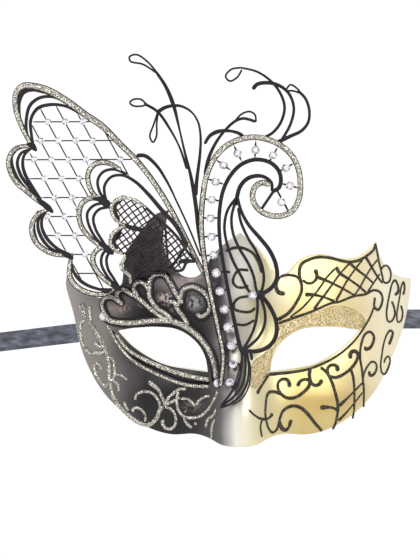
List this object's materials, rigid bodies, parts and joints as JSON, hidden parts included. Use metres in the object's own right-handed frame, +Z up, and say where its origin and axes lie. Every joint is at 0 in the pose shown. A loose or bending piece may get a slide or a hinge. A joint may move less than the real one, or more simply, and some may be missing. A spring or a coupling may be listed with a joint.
{
  "type": "masquerade mask",
  "caption": "Venetian half mask with almond eye holes, a cut-metal butterfly wing, a scrolled neck set with stones, tendrils and tie ribbons.",
  "frame": {"origin": "on the bridge of the wearer's nose at eye level, just behind the mask's wall", "axes": "+Z up the face, +X towards the gold half, which is the wearer's left, +Y back into the wearer's face"},
  "size_m": [0.2775, 0.0963, 0.2046],
  "materials": {
    "shell_satin": "hand-painted satin, black through silver to gold",
    "champagne_glitter": "champagne glitter on black cut metal",
    "black_metal": "black satin lacquer with glitter bands",
    "net_metal": "black fine net",
    "crystal": "faceted, foil backed",
    "ribbon_satin": "crushed satin",
    "felt": "felt"
  },
  "bodies": {
    "root": {"mask_shell": "shell_satin", "lid_frame": "champagne_glitter", "wing_main": "black_metal", "wing_middle": "black_metal", "wing_net": "net_metal", "swan_neck": "black_metal", "leaf_spray": "black_metal", "tendril_left": "black_metal", "tendril_middle": "black_metal", "tendril_right": "black_metal", "spine_stone_01": "crystal", "spine_stone_02": "crystal", "spine_stone_03": "crystal", "spine_stone_04": "crystal", "spine_stone_05": "crystal", "spine_stone_06": "crystal", "spine_stone_07": "crystal", "spine_stone_08": "crystal", "spine_stone_09": "crystal", "spine_stone_10": "crystal", "spine_stone_11": "crystal", "spine_stone_12": "crystal", "spine_stone_13": "crystal", "spine_stone_14": "crystal", "spine_stone_15": "crystal", "spine_stone_16": "crystal", "spine_stone_17": "crystal", "spine_stone_18": "crystal", "spine_stone_19": "crystal", "leaf_stone": "crystal", "lid_stone_outer": "crystal", "lid_stone_inner": "crystal", "wing_stone_01": "crystal", "wing_stone_02": "crystal", "wing_stone_03": "crystal", "wing_stone_04": "crystal", "wing_stone_05": "crystal", "wing_stone_06": "crystal", "wing_stone_07": "crystal", "wing_stone_08": "crystal", "wing_stone_09": "crystal", "wing_stone_10": "crystal", "wing_stone_11": "crystal", "wing_stone_12": "crystal", "wing_stone_13": "crystal", "wing_stone_14": "crystal", "wing_stone_15": "crystal", "wing_stone_16": "crystal", "wing_stone_17": "crystal", "wing_stone_18": "crystal", "wing_stone_19": "crystal", "wing_stone_20": "crystal", "wing_stone_21": "crystal", "wing_stone_22": "crystal", "ribbon_left": "ribbon_satin", "ribbon_knot_left": "ribbon_satin", "ribbon_patch_left": "felt", "ribbon_right": "ribbon_satin", "ribbon_knot_right": "ribbon_satin", "ribbon_patch_right": "felt"}
  },
  "joints": []
}
